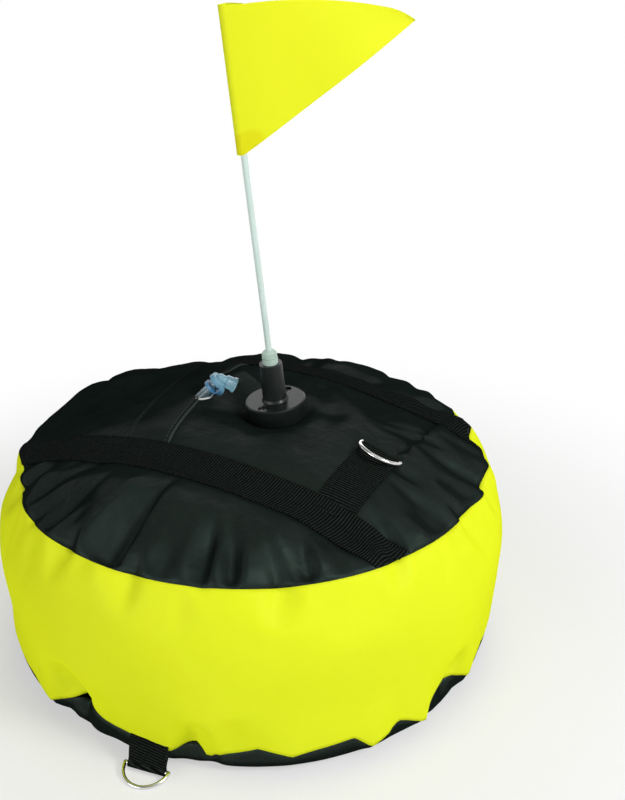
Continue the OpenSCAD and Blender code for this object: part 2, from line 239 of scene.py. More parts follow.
# The lower seam hangs in scallops: each pair is a direction in degrees and the seam's rise there in millimetres.
LOW_SCALLOPS = ((-118, 1), (-109.5, -6), (-100.5, 11), (-92.5, 6), (-86, 4), (-76, -4), (-70.5, 4.5),
                (-67.8, -7.5), (-64, -1), (-56.8, 6.5), (-49.9, -2), (-44.5, 1.5), (-36.3, 4.5), (-32.2, -7.5),
                (-28, -3), (-25.2, 4.5), (-17.6, -9), (-13.8, 8), (-6.8, 9), (0, -5), (9, 6), (21, -4), (33, 4),
                (46, -4), (60, 5), (71, -4), (88, 4), (101, -5), (117, 5), (130, -4), (147, 5), (160, -4),
                (176, 5), (190, -5), (204, 4), (217, -5), (231, 5))
SCALLOP_H, SCALLOP_OUT = 0.042, 0.35
for panel in (cover_band, cover_base):
    hung = points_of(panel)
    hung_turn = np.degrees(np.arctan2(hung[:, 1], hung[:, 0])) % 360
    rise = np.interp(hung_turn, *zip(*LOW_SCALLOPS), period=360) / 1000
    hung_r = np.hypot(hung[:, 0], hung[:, 1])
    if panel is cover_band:
        hangs = 1 - ease(0.0, SCALLOP_H, hung[:, 2] - LOW_SEAM_Z)
        hung[:, :2] *= (1 + hangs * np.maximum(-rise, 0) * SCALLOP_OUT / hung_r)[:, None]
    else:
        hangs = ease(FOOT_R - 0.004, LOW_SEAM_R, hung_r) * ease(0.004, LOW_SEAM_Z, hung[:, 2])
    hung[:, 2] = np.maximum(hung[:, 2] + hangs * rise, 0)
    put_points(panel, hung)

# Gathers run in from the upper seam: the direction of a crease in degrees, how wide its two sides are, how deep it is
# and how far it reaches in, in millimetres.
TOP_GATHERS = ((-112, 7, 3, 4.5, 40), (-90, 10, 3, 14, 84), (-77, 5, 3, 3.5, 36), (-68, 5, 2.5, 7, 60),
               (-61.5, 4.5, 2.5, 10, 42), (-53, 6, 3, 3, 44), (-44.5, 7, 2, 9.5, 38), (-37, 4, 2, 3.5, 28),
               (-21.5, 6, 2.5, 7, 48), (-9, 5, 3, 4, 34), (8, 5, 3, 4, 36), (150, 6, 3, 1.5, 34),
               (168, 7, 3, 1.2, 46), (186, 6, 3, 1.2, 40), (226, 6, 3, 4, 40), (236, 5, 3, 3, 36),
               (60, 6, 3, 1, 34), (84, 5, 3, 1, 30), (112, 5, 3, 1.2, 30))
GATHER_SECTION = (0, 0.45, -0.85, 0.25, 0.15, 0)
top = points_of(cover_top)
top_r, top_turn = np.hypot(top[:, 0], top[:, 1]), np.degrees(np.arctan2(top[:, 1], top[:, 0]))
in_from_seam = np.interp(np.radians(top_turn), seam_angle, seam_r, period=2 * math.pi) - top_r
for crease, before, after, deep, run_in in TOP_GATHERS:
    past = (top_turn - crease + 180) % 360 - 180
    across = np.interp(past, (-2.2 * before, -before, 0, after, 2.6 * after, 5 * after), GATHER_SECTION)
    lasting = ease(0, 0.009, in_from_seam) * (1 - ease(0.3 * run_in, run_in, in_from_seam * 1000))
    top[:, 2] += 0.001 * deep * lasting * across

# A loose fold stands between the valve and the mast, steep on its far side.
FOLD_FROM, FOLD_TO = np.array([-0.040, 0.047]), np.array([-0.004, 0.025])
FOLD_H, FOLD_DIP = 0.0075, 0.0035
fold_run = (FOLD_TO - FOLD_FROM) / np.linalg.norm(FOLD_TO - FOLD_FROM)
fold_s = (top[:, :2] - FOLD_FROM) @ fold_run
fold_q = (top[:, :2] - FOLD_FROM) @ np.array([-fold_run[1], fold_run[0]])
fold = np.where(fold_q < 0, np.clip(1 + fold_q / 0.034, 0, 1), np.clip(1 - fold_q / 0.010, 0, 1))
behind = np.exp(-((fold_q - 0.017) / 0.009) ** 2)
top[:, 2] += (FOLD_H * fold - FOLD_DIP * behind) * ease(-0.014, 0.006, fold_s) * (1 - ease(0.036, 0.062, fold_s))

# A felled seam runs from the ring tab to the rear strap, and the cloth outside it lies on top.
SEAM_RUN = ((0.002, 0.1212), (0.0114, 0.1217), (0.0212, 0.1233), (0.0902, 0.1205), (0.1, 0.1200))
SEAM_STEP = 0.0040
past_seam = top[:, 0] - np.interp(top[:, 1], *zip(*SEAM_RUN))
top[:, 2] += (SEAM_STEP * ease(-0.002, 0.002, past_seam) * (1 - ease(0.008, 0.045, past_seam))
              * ease(0.0, 0.012, top[:, 1]) * (1 - ease(0.085, 0.1, top[:, 1])))

# The mast's flange presses a dish into the top, and the two taut straps press grooves into it.
MAST_X, MAST_Y, MAST_LEAN, MAST_AZ = 0.0175, 0.0105, math.radians(6), math.radians(213)
FLANGE_R, FLANGE_T, FLANGE_SINK, DISH_FLARE = 0.0235, 0.013, 0.0085, 0.020
STRAP_W, STRAP_MID, STRAP_OFF = 0.030, 0.0115, 0.0925
GROOVE, GROOVE_W, SWELL, SWELL_OFF, SWELL_W = 0.0055, 0.019, 0.0035, 0.038, 0.015
SEAT_GAP, DISH_SOFT = 0.0006, 0.008
mast_foot = np.array([MAST_X, MAST_Y, CROWN_Z - crown_rad
                      + math.sqrt(crown_rad ** 2 - MAST_X ** 2 - MAST_Y ** 2) - FLANGE_SINK])
mast_up = np.array([math.sin(MAST_LEAN) * math.cos(MAST_AZ), math.sin(MAST_LEAN) * math.sin(MAST_AZ),
                    math.cos(MAST_LEAN)])
STRAP_RUNS = {"strap_front": ((-0.165, -0.087), (-0.060, -0.086), (0.008, -0.0835), (0.056, -0.081), (0.097, -0.077),
                              (0.165, -0.0755)),
              "strap_rear": ((-0.165, STRAP_MID + STRAP_OFF), (0.165, STRAP_MID + STRAP_OFF))}
for run in STRAP_RUNS.values():
    off_strap = top[:, 1] - np.interp(top[:, 0], *zip(*run))
    held_down = 1 - ease(0.86, 1.0, top_r / TOP_SEAM_R)
    top[:, 2] -= GROOVE * held_down * np.exp(-(off_strap / GROOVE_W) ** 2)
    outward = -off_strap if run[0][1] < 0 else off_strap
    top[:, 2] += SWELL * held_down * np.exp(-((outward - SWELL_OFF) / SWELL_W) ** 2)
rel = top - mast_foot
rise = rel @ mast_up
reach = np.linalg.norm(rel - rise[:, None] * mast_up, axis=1)
flank = np.maximum(reach - FLANGE_R - SEAT_GAP, 0) * FLANGE_T / DISH_FLARE - SEAT_GAP
blend = np.clip(0.5 + 0.5 * (flank - rise) / DISH_SOFT, 0, 1)
sunk = np.maximum(flank * (1 - blend) + rise * blend - DISH_SOFT * blend * (1 - blend), -SEAT_GAP)
sunk = np.where(reach < FLANGE_R + SEAT_GAP, -SEAT_GAP, sunk)
top += ((sunk - rise) * (1 - ease(FLANGE_R + 0.03, FLANGE_R + 0.06, reach)))[:, None] * mast_up
# Short creases run out from the flange, each a direction in degrees, a depth and a length in millimetres.
FLANGE_CREASES = ((-146, 1.6, 52), (-86, 1.4, 46), (-34, 1.8, 54), (20, 1.3, 44), (82, 1.2, 40), (128, 1.4, 44))
round_mast = np.degrees(np.arctan2(rel[:, 1], rel[:, 0]))
for crease, deep, long in FLANGE_CREASES:
    past = (round_mast - crease + 180) % 360 - 180
    out = reach - FLANGE_R - 0.003
    top[:, 2] -= (0.001 * deep * np.exp(-(past / 13) ** 2) * ease(0.002, 0.016, out)
                  * (1 - ease(0.3 * long, long, out * 1000)))
put_points(cover_top, top)
top_bvh = BVHTree.FromObject(cover_top, bpy.context.evaluated_depsgraph_get())
for panel in (cover_top, cover_band, cover_base):
    finish_with(panel, "SOLIDIFY", thickness=COVER_T, offset=-1)
    bpy.ops.object.shade_smooth()


def top_height(x, y):
    r = math.hypot(x, y)
    if r > TOP_SEAM_R * 0.97:
        edge = float(np.interp(math.atan2(y, x), seam_angle, seam_r, period=2 * math.pi))
        inside = min(r, edge - 0.0008)
        x, y = x * inside / r, y * inside / r
    hit = top_bvh.ray_cast(Vector((x, y, 0.4)), Vector((0, 0, -1)))[0]
    return hit.z if hit else TOP_SEAM_Z


def add(tree, kind, links=(), **values):
    item = tree.nodes.new(kind)
    for key, value in values.items():
        if key in item.inputs:
            item.inputs[key].default_value = value
        else:
            setattr(item, key, value)
    for source, socket in links:
        tree.links.new(source, item.inputs[socket])
    return item


def ramp(tree, source, low, high, start=0.0, end=1.0, smooth=False):
    item = add(tree, "ShaderNodeMapRange", [(source, "Value")],
               interpolation_type="SMOOTHSTEP" if smooth else "LINEAR")
    for key, value in (("From Min", low), ("From Max", high), ("To Min", start), ("To Max", end)):
        item.inputs[key].default_value = value
    return item.outputs[0]


def maths(tree, operation, *terms):
    item = add(tree, "ShaderNodeMath", operation=operation)
    for spot, term in enumerate(terms):
        if isinstance(term, float):
            item.inputs[spot].default_value = term
        else:
            tree.links.new(term, item.inputs[spot])
    return item.outputs[0]


def two_tone(tree, share, one, other):
    item = add(tree, "ShaderNodeMix", [(share, "Factor")], data_type="RGBA")
    item.inputs[6].default_value, item.inputs[7].default_value = (*one, 1), (*other, 1)
    return item.outputs[2]


def laid_over(tree, share, under, tone):
    item = add(tree, "ShaderNodeMix", [(share, "Factor"), (under, 6)], data_type="RGBA")
    item.inputs[7].default_value = (*tone, 1)
    return item.outputs[2]


def bands(tree, source, pitch, **settings):
    # A wave texture at scale 1 repeats each 2 pi / 20 metres.
    return add(tree, "ShaderNodeTexWave", [(source, "Vector")], Scale=0.3142 / pitch, **settings).outputs["Fac"]


def bump(tree, height, strength, distance, over=None):
    links = [(height, "Height")] + ([(over, "Normal")] if over else [])
    return add(tree, "ShaderNodeBump", links, Strength=strength, Distance=distance).outputs[0]


def new_finish(name):
    finish = bpy.data.materials.new(name)
    finish.use_nodes = True
    return finish, finish.node_tree, finish.node_tree.nodes["Principled BSDF"]


# Lighter stitch rows along the hem, and a painted highlight in a thin line along each folded edge, where the rolled
# cloth would catch the light.
def hem_stitches_and_edge_highlight(tree, thread, wide):
    spot = add(tree, "ShaderNodeSeparateXYZ", [(thread, "Vector")])
    from_mid = maths(tree, "ABSOLUTE", maths(tree, "SUBTRACT", spot.outputs["Y"], wide / 2))
    edge_highlight = ramp(tree, from_mid, wide / 2 - 0.0019, wide / 2 - 0.0009)
    off_row = maths(tree, "ABSOLUTE", maths(tree, "SUBTRACT", from_mid, wide / 2 - 0.0042))
    stitch = maths(tree, "MULTIPLY", bands(tree, thread, 0.0034), ramp(tree, off_row, 0.0006, 0.0003))
    return maths(tree, "MAXIMUM", stitch, edge_highlight)


def cloth_material(name, dark, light, rough, gloss, sheen, pitch, weave, crinkle, flow, hem=0, hem_thread_and_highlight_tone=None):
    finish, tree, shader = new_finish(name)
    glance = add(tree, "ShaderNodeLayerWeight", Blend=0.5)
    tree.links.new(ramp(tree, glance.outputs["Facing"], 0.02, 0.58, gloss, 0.0, smooth=True),
                   shader.inputs["Specular IOR Level"])
    shader.inputs["Specular Tint"].default_value = (*sheen, 1)
    place = add(tree, "ShaderNodeTexCoord").outputs
    thread = place["UV"] if flow else place["Object"]
    patch = add(tree, "ShaderNodeTexNoise", [(place["Object"], "Vector")], Scale=22.0, Detail=8.0,
                Roughness=0.72).outputs["Fac"]
    colour = two_tone(tree, patch, dark, light)
    # The hem lays lighter stitches and a painted highlight along the folded edges over the cloth.
    if hem:
        colour = laid_over(tree, hem_stitches_and_edge_highlight(tree, place["UV"], hem), colour, hem_thread_and_highlight_tone)
    tree.links.new(colour, shader.inputs["Base Color"])
    tree.links.new(ramp(tree, patch, 0.0, 1.0, rough - 0.07, rough + 0.08), shader.inputs["Roughness"])
    warp = bands(tree, thread, pitch, Distortion=0.4)
    weft = bands(tree, thread, pitch, Distortion=0.4, bands_direction="Y")
    folds = add(tree, "ShaderNodeTexNoise", [(place["Object"], "Vector")], Scale=46.0, Detail=6.0)
    crinkled = bump(tree, folds.outputs["Fac"], crinkle, 0.004)
    woven = bump(tree, maths(tree, "MULTIPLY", warp, weft), weave, 0.0003, over=crinkled)
    tree.links.new(woven, shader.inputs["Normal"])
    return finish


black_cloth = cloth_material("black_cloth", dark=(0.0030, 0.0045, 0.0038), light=(0.0150, 0.0228, 0.0193),
                             rough=0.40, gloss=0.21, sheen=(0.68, 1.0, 0.86), pitch=0.0009, weave=0.4, crinkle=0.6,
                             flow=False)
yellow_cloth = cloth_material("yellow_cloth", dark=(0.77, 0.875, 0.012), light=(0.85, 0.92, 0.024), rough=0.45,
                              gloss=0.1, sheen=(1.0, 1.0, 0.8), pitch=0.0009, weave=0.25, crinkle=0.12, flow=True)


def lay_uv(piece, where):
    layer = piece.data.uv_layers.active or piece.data.uv_layers.new(name="UVMap")
    layer.name = "UVMap"
    points = points_of(piece)
    for face in piece.data.polygons:
        spots = [where(points[piece.data.loops[i].vertex_index]) for i in face.loop_indices]
        wide = max(s[0] for s in spots) - min(s[0] for s in spots) > math.pi * FLOAT_R
        for i, (u, v) in zip(face.loop_indices, spots):
            layer.data[i].uv = (u + 2 * math.pi * FLOAT_R if wide and u < 0 else u, v)


lay_uv(cover_band, lambda p: (math.atan2(p[1], p[0]) * FLOAT_R, p[2]))
for panel, node_name, slot_name, finish in ((cover_top, "top_panel", "cover_black", black_cloth),
                                            (cover_band, "side_band", "cover_yellow", yellow_cloth),
                                            (cover_base, "base_panel", "cover_black", black_cloth)):
    panel.data.materials.clear()
    panel.data.materials.append(finish)
    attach(panel, "float")
    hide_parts(node_name)

# Air bladder: a welded film bag that fills the cover and is never seen. Its solid stays for the motion only,
# so the cover's top panel stands for it here.
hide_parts("air_bladder")

# Straps: two lengths of ribbed black polyester webbing, sewn into the upper seam at both ends and drawn taut
# over the top on either side of the mast.
WEB_T, WEB_PITCH, YARN_PITCH, RIB_SKEW = 0.0013, 0.0021, 0.0014, math.radians(9)


def webbing_material(name):
    finish, tree, shader = new_finish(name)
    shader.inputs["Specular IOR Level"].default_value = 0.0
    thread = add(tree, "ShaderNodeTexCoord").outputs["UV"]
    skew = add(tree, "ShaderNodeMapping", [(thread, "Vector")], Rotation=(0, 0, RIB_SKEW))
    rib = bands(tree, skew.outputs[0], WEB_PITCH, Distortion=0.05)
    yarn = bands(tree, thread, YARN_PITCH, bands_direction="Y", Distortion=0.5)
    rib_relief_and_shade = maths(tree, "MULTIPLY", rib, ramp(tree, yarn, 0.0, 1.0, 0.45, 1.0))
    fuzz = add(tree, "ShaderNodeTexNoise", [(thread, "Vector")], Scale=420.0, Detail=4.0).outputs["Fac"]
    rib_relief_and_shade = maths(tree, "MULTIPLY", rib_relief_and_shade, ramp(tree, fuzz, 0.3, 0.7, 0.45, 1.1))
    # The ribs' colour is painted light and shade: lit crests and dark grooves between them, with the fuzz noise
    # varying the tone at random.
    tree.links.new(two_tone(tree, rib_relief_and_shade, (0.0015, 0.002, 0.0018), (0.038, 0.048, 0.042)), shader.inputs["Base Color"])
    tree.links.new(ramp(tree, fuzz, 0.0, 1.0, 0.55, 0.8), shader.inputs["Roughness"])
    tree.links.new(bump(tree, rib_relief_and_shade, 1.0, 0.0009), shader.inputs["Normal"])
    return finish


def strip(name, long_cells, wide_cells, place, thick, size):
    bpy.ops.object.select_all(action="DESELECT")
    bpy.ops.mesh.primitive_grid_add(x_subdivisions=long_cells, y_subdivisions=wide_cells, size=1)
    piece = bpy.context.object
    piece.name = piece.data.name = name
    flat = points_of(piece)[:, :2] + 0.5
    order = np.lexsort((flat[:, 0], flat[:, 1]))
    grid = flat[order].reshape(wide_cells + 1, long_cells + 1, 2)
    laid = place(grid[:, :, 0], grid[:, :, 1])
    points = np.empty((len(flat), 3))
    points[order] = laid.reshape(-1, 3)
    put_points(piece, points)
    layer = piece.data.uv_layers.active
    for loop in piece.data.loops:
        u, v = flat[loop.vertex_index]
        layer.data[loop.index].uv = (u * size[0], v * size[1])
    if thick:
        finish_with(piece, "SOLIDIFY", thickness=thick, offset=1)
        finish_with(piece, "BEVEL", width=thick * 0.3, segments=2, limit_method="ANGLE")
    bpy.ops.object.shade_smooth_by_angle(angle=math.radians(40))
    return piece


def drawn_taut(heights, spread):
    cells = np.arange(-3 * spread, 3 * spread + 1)
    weight = np.exp(-0.5 * (cells / spread) ** 2)
    padded = np.pad(heights, ((0, 0), (3 * spread, 3 * spread)), mode="edge")
    even = np.stack([np.convolve(row, weight / weight.sum(), "valid") for row in padded])
    return np.maximum(even, heights)


def on_top_plan(x, y, lift, spread):
    heights = np.array([[top_height(a, b) for a, b in zip(ra, rb)] for ra, rb in zip(x, y)])
    return np.stack([x, y, drawn_taut(heights, spread) + lift], axis=-1)


def strap_place(run):
    def place(u, v):
        along = 2 * u - 1
        y_end = np.where(along < 0, run[0][1], run[-1][1]) + (v - 0.5) * STRAP_W
        end_turn = np.arctan2(y_end, np.where(along < 0, -1, 1) * np.sqrt(TOP_SEAM_R ** 2 - y_end ** 2))
        edge = np.interp(end_turn, seam_angle, seam_r, period=2 * math.pi) - 0.001
        x = along * np.sqrt(edge ** 2 - y_end ** 2)
        y = np.interp(x, *zip(*run)) + (v - 0.5) * STRAP_W
        return on_top_plan(x, y, 0.0003 - 0.002 * ease(0.965, 1.0, np.abs(along)), 3)
    return place


webbing_black = webbing_material("webbing_black")
for strap_name, run in STRAP_RUNS.items():
    strap = strip("webbing_" + strap_name, 120, 10, strap_place(run), WEB_T, (1, 1))
    lay_uv(strap, lambda p, run=run: (p[0], p[1] - float(np.interp(p[0], *zip(*run)))))
    strap.data.materials.append(webbing_black)
    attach(strap, "float")
    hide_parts(strap_name)

# Closure flap: a strip of the black cloth with folded edges, sewn down over the slit that the bladder goes in by.
# It runs between the two straps, beside the valve.
FLAP_W, FLAP_X, FLAP_TURN, FLAP_T = 0.040, -0.0645, math.radians(11.5), 0.0012
FLAP_PUFF, FLAP_HEM = 0.0020, 0.0007
flap_from, flap_to = -0.0765, STRAP_MID + STRAP_OFF - STRAP_W / 2 + 0.005


def flap_place(u, v):
    across = (v - 0.5) * FLAP_W
    y = flap_from + u * (flap_to - flap_from)
    x = FLAP_X + across / math.cos(FLAP_TURN) - (y - STRAP_MID) * math.tan(FLAP_TURN)
    loose = ease(0.0, 0.1, u) * (1 - ease(0.92, 1.0, u))
    puff = FLAP_PUFF * (1 - (2 * v - 1) ** 2) ** 0.5 + FLAP_HEM * np.exp(-((np.abs(v - 0.5) - 0.46) / 0.02) ** 2)
    return on_top_plan(x, y, 0.0002 * loose, 3) + np.stack([0 * u, 0 * u, puff * loose], axis=-1)


flap = strip("cloth_closure_flap", 70, 48, flap_place, FLAP_T, (flap_to - flap_from, FLAP_W))
# The flap's hem tone paints lighter stitches and a highlight along its folded edges.
flap_cloth = cloth_material("flap_cloth", dark=(0.0030, 0.0045, 0.0038), light=(0.0140, 0.0212, 0.0180), rough=0.40,
                            gloss=0.21, sheen=(0.68, 1.0, 0.86), pitch=0.0009, weave=0.4, crinkle=0.2, flow=False,
                            hem=FLAP_W, hem_thread_and_highlight_tone=(0.034, 0.043, 0.038))
flap.data.materials.append(flap_cloth)
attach(flap, "float")
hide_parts("closure_flap")

# Seam in the top: a felled seam that runs from the ring tab to the rear strap, sewn down flat. It is part of the
# cover's top panel.
WELT_W, WELT_FROM, WELT_LONG = 0.005, 0.006, 0.086


def welt_place(u, v):
    y = WELT_FROM + u * WELT_LONG
    x = np.interp(y, *zip(*SEAM_RUN)) - 0.0005 + v * WELT_W
    return on_top_plan(x, y, 0.0, 1)


welt = strip("cover_seam_welt", 44, 4, welt_place, COVER_T, (WELT_LONG, WELT_W))
welt.data.materials.append(black_cloth)
pick(cover_top)
welt.select_set(True)
bpy.ops.object.join()

# Top ring tab: a doubled length of the webbing that leaves the front strap, loops round the bar of the D-ring
# and runs back under itself.
TAB_X, BAR_Y = 0.111, 0.0035
LOOP_IN, LOOP_OUT = 0.00158, 0.00288
bar_up = np.array([TAB_X, BAR_Y, math.sqrt(crown_rad ** 2 - TAB_X ** 2 - BAR_Y ** 2)]) / crown_rad
tab_start = STRAP_MID - STRAP_OFF + STRAP_W / 2 - 0.006


def walk(path, u):
    path = np.array(path)
    length = np.concatenate([[0], np.cumsum(np.hypot(*np.diff(path, axis=0).T))])
    return np.interp(u * length[-1], length, path[:, 0]), np.interp(u * length[-1], length, path[:, 1])


def tab_path(u):
    run = np.linspace(0, 1, 40)
    path = [(y, WEB_T + 0.0003 + (LOOP_OUT + LOOP_IN - WEB_T) * float(ease(0.75, 1.0, t)))
            for t, y in zip(run, np.linspace(tab_start, BAR_Y, 40))]
    path += [(BAR_Y + LOOP_IN * math.sin(a), LOOP_OUT + LOOP_IN * math.cos(a)) for a in np.linspace(0.2, 2.9, 12)]
    return walk(path, u)


def tab_place(u, v):
    y, lift = tab_path(u)
    x = TAB_X + (v - 0.5) * STRAP_W
    base = on_top_plan(x, np.minimum(y, BAR_Y), 0, 2)
    at_bar = CROWN_Z - crown_rad + crown_rad * bar_up[2] - (x - TAB_X) * bar_up[0] / bar_up[2]
    base[:, :, 2] += ease(BAR_Y - 0.022, BAR_Y - 0.003, y) * (at_bar - base[:, :, 2])
    base[:, :, 1] = y
    return base + lift[:, :, None] * bar_up


tab_top = strip("webbing_ring_tab_top", 90, 10, tab_place, WEB_T, (BAR_Y - tab_start + 0.005, STRAP_W))
tab_top.data.materials.append(webbing_black)
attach(tab_top, "float")
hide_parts("ring_tab_top")

# Lower ring tab: the same doubled webbing, caught in the lower seam at the front and hanging down to the floor,
# with the bar of its D-ring in the fold.
LOW_AZ, LOW_BAR_R, LOW_BAR_Z = math.radians(-80.5), 0.1975, 0.0045
LOOP_NECK, PLY_GAP, DRAW_IN, LOW_TAB_LONG = 0.0045, 0.0003, 0.04, 0.042
out_low = np.array([math.cos(LOW_AZ), math.sin(LOW_AZ), 0])
side_low = np.array([-math.sin(LOW_AZ), math.cos(LOW_AZ), 0])
seam_way = math.atan2(LOW_SEAM_Z - LOW_BAR_Z, LOW_SEAM_R - 0.001 - LOW_BAR_R)
seam_far = math.hypot(LOW_SEAM_Z - LOW_BAR_Z, LOW_SEAM_R - 0.001 - LOW_BAR_R)


def low_tab_path(u):
    path = [(seam_far + 0.004, PLY_GAP), (LOOP_NECK, PLY_GAP)]
    path += [(LOOP_IN * math.cos(a), LOOP_IN * math.sin(a)) for a in np.linspace(0.5, 2 * math.pi - 0.5, 30)]
    path += [(LOOP_NECK, -PLY_GAP), (seam_far * 0.7, -PLY_GAP)]
    return walk(path, u)


def low_tab_place(u, v):
    along, off = low_tab_path(u)
    r = LOW_BAR_R + along * math.cos(seam_way) + off * math.sin(seam_way)
    z = LOW_BAR_Z + along * math.sin(seam_way) - off * math.cos(seam_way)
    drawn_in = 1 - DRAW_IN * (1 - ease(0.004, 0.012, along))
    return (r[:, :, None] * out_low + ((v - 0.5) * STRAP_W * drawn_in)[:, :, None] * side_low
            + np.stack([0 * u, 0 * u, z], axis=-1))


tab_low = strip("webbing_ring_tab_low", 90, 10, low_tab_place, WEB_T, (LOW_TAB_LONG, STRAP_W))
tab_low.data.materials.append(webbing_black)
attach(tab_low, "float")
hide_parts("ring_tab_low")


# D-rings: 3 mm steel wire bent and welded, nickel plated, free to turn in the folds of their tabs.
def dress(node_name, finish):
    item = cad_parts[node_name]
    item.data.materials.clear()
    item.data.materials.append(finish)
    for face in item.data.polygons:
        face.material_index = 0


def hard_material(name, dark, light, rough, spread, scale, grain, **sockets):
    finish, tree, shader = new_finish(name)
    for key, value in sockets.items():
        shader.inputs[key.replace("_", " ")].default_value = value
    place = add(tree, "ShaderNodeTexCoord").outputs["Object"]
    patch = add(tree, "ShaderNodeTexNoise", [(place, "Vector")], Scale=scale, Detail=5.0).outputs["Fac"]
    tree.links.new(two_tone(tree, patch, dark, light), shader.inputs["Base Color"])
    tree.links.new(ramp(tree, patch, 0.0, 1.0, rough - spread, rough + spread), shader.inputs["Roughness"])
    fine = add(tree, "ShaderNodeTexNoise", [(place, "Vector")], Scale=scale * 12, Detail=3.0).outputs["Fac"]
    tree.links.new(bump(tree, fine, grain, 0.0004), shader.inputs["Normal"])
    return finish


ring_nickel = hard_material("ring_nickel", dark=(0.62, 0.62, 0.60), light=(0.80, 0.80, 0.78), rough=0.2, spread=0.07,
                            scale=120, grain=0.06, Metallic=1.0)
dress("ring_top", ring_nickel)
dress("ring_low", ring_nickel)

# Mast socket: a flange and boss moulded in one from tough black plastic, held by two screws in counterbored holes
# that go through the cover into a plate inside.
socket_plastic = hard_material("socket_plastic", dark=(0.0035, 0.0056, 0.0047), light=(0.0085, 0.0130, 0.0110),
                               rough=0.34, spread=0.07, scale=90, grain=0.10, Specular_IOR_Level=0.32)
dress("mast_socket", socket_plastic)
screw_steel = hard_material("screw_steel", dark=(0.45, 0.45, 0.44), light=(0.7, 0.7, 0.69), rough=0.3, spread=0.1,
                            scale=200, grain=0.1, Metallic=1.0)
dress("socket_screws", screw_steel)

# Mast: a pale fibreglass rod in a translucent ferrule that screws into the socket.
rod_fibreglass = hard_material("rod_fibreglass", dark=(0.60, 0.76, 0.70), light=(0.70, 0.84, 0.78), rough=0.32,
                               spread=0.08, scale=60, grain=0.1)
dress("mast_rod", rod_fibreglass)
ferrule_plastic = hard_material("ferrule_plastic", dark=(0.56, 0.74, 0.64), light=(0.66, 0.82, 0.72), rough=0.25,
                                spread=0.06, scale=90, grain=0.05, Transmission_Weight=0.25)
dress("mast_ferrule", ferrule_plastic)

# Valve: a clear PVC stem welded to the bladder that pokes out beside the flap, closed by a blue plug that hangs
# on a strap from a ring round the stem.
VALVE_X, VALVE_Y, VALVE_LEAN, VALVE_AZ = -0.041, -0.006, math.radians(45), math.radians(33)
valve_up = Vector((math.sin(VALVE_LEAN) * math.cos(VALVE_AZ), math.sin(VALVE_LEAN) * math.sin(VALVE_AZ),
                   math.cos(VALVE_LEAN)))
valve_foot = Vector((VALVE_X, VALVE_Y,
                     CROWN_Z - crown_rad + math.sqrt(crown_rad ** 2 - VALVE_X ** 2 - VALVE_Y ** 2)))


def tinted_along(finish, near, far, begin, end):
    tree = finish.node_tree
    colour = tree.nodes["Principled BSDF"].inputs["Base Color"]
    place = add(tree, "ShaderNodeTexCoord")
    along = add(tree, "ShaderNodeVectorMath", [(place.outputs["Object"], 0)], operation="DOT_PRODUCT")
    along.inputs[1].default_value = valve_up
    shift = valve_foot.dot(valve_up)
    share = ramp(tree, along.outputs["Value"], shift + begin, shift + end, smooth=True)
    both = add(tree, "ShaderNodeMix", [(colour.links[0].from_socket, 6), (two_tone(tree, share, near, far), 7)],
               data_type="RGBA", blend_type="MULTIPLY", Factor=1.0)
    tree.links.new(both.outputs[2], colour)


valve_clear = hard_material("valve_clear", dark=(0.82, 0.90, 0.92), light=(0.94, 0.97, 0.98), rough=0.12, spread=0.05,
                            scale=90, grain=0.04, Transmission_Weight=0.75, IOR=1.42)
# The clear stem is tinted darker near its foot: painted shade, standing in for the black cover seen through the stem
# at its base.
tinted_along(valve_clear, near=(0.22, 0.32, 0.35), far=(0.52, 0.74, 0.84), begin=0.002, end=0.011)
dress("valve_stem", valve_clear)
valve_blue = hard_material("valve_blue", dark=(0.78, 0.84, 0.90), light=(0.98, 0.98, 0.98), rough=0.14, spread=0.06,
                           scale=160, grain=0.05, Transmission_Weight=0.35, IOR=1.42)
tinted_along(valve_blue, near=(0.10, 0.34, 0.58), far=(0.42, 0.72, 0.82), begin=0.013, end=0.024)
dress("valve_plug", valve_blue)

# Valve lip: the rim of clear film round the hole in the cover that the stem comes out of, welded and turned out.
LIP_R, LIP_T, LIP_STRETCH, LIP_LIFT = 0.0054, 0.0008, 1.38, 0.0006
bpy.ops.object.select_all(action="DESELECT")
bpy.ops.mesh.primitive_torus_add(major_radius=LIP_R, minor_radius=LIP_T, major_segments=40, minor_segments=10,
                                 location=(VALVE_X, VALVE_Y, 0), rotation=(0, 0, VALVE_AZ))
lip = bpy.context.object
lip.name = lip.data.name = "valve_lip"
lip.scale = (LIP_STRETCH, 1.0, 1.0)
bpy.ops.object.transform_apply(location=True, rotation=True, scale=True)
ring_points = points_of(lip)
ring_points[:, 2] += [top_height(x, y) + LIP_LIFT for x, y in ring_points[:, :2]]
put_points(lip, ring_points)
bpy.ops.object.shade_smooth()
lip_film = hard_material("lip_film", dark=(0.62, 0.66, 0.64), light=(0.80, 0.83, 0.81), rough=0.22, spread=0.06,
                         scale=160, grain=0.05)
lip.data.materials.append(lip_film)
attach(lip, "float")

# Pennant: a triangle of bright coated cloth whose luff is folded round the rod and sewn as a sleeve, closed at
# its head, with narrow hems along the other two edges.
HOIST, FLY, TIP_DROP, TIP_H, EDGE_RISE, CURL_R, ROD_TOP = 0.101, 0.129, 0.027, 0.0044, 0.0075, 0.420, 0.3075
SLEEVE_R, SLEEVE_W, LUFF_OUT, PENNANT_T = 0.0029, 0.012, 0.0042, 0.0006
NOSE_FROM, HEAD_RISE, FLUTTER = 0.86, 0.0012, 0.0014
fly_dir = -np.array([math.cos(MAST_LEAN) * math.cos(MAST_AZ), math.cos(MAST_LEAN) * math.sin(MAST_AZ),
                     -math.sin(MAST_LEAN)])
off_dir = np.array([math.sin(MAST_AZ), -math.cos(MAST_AZ), 0])


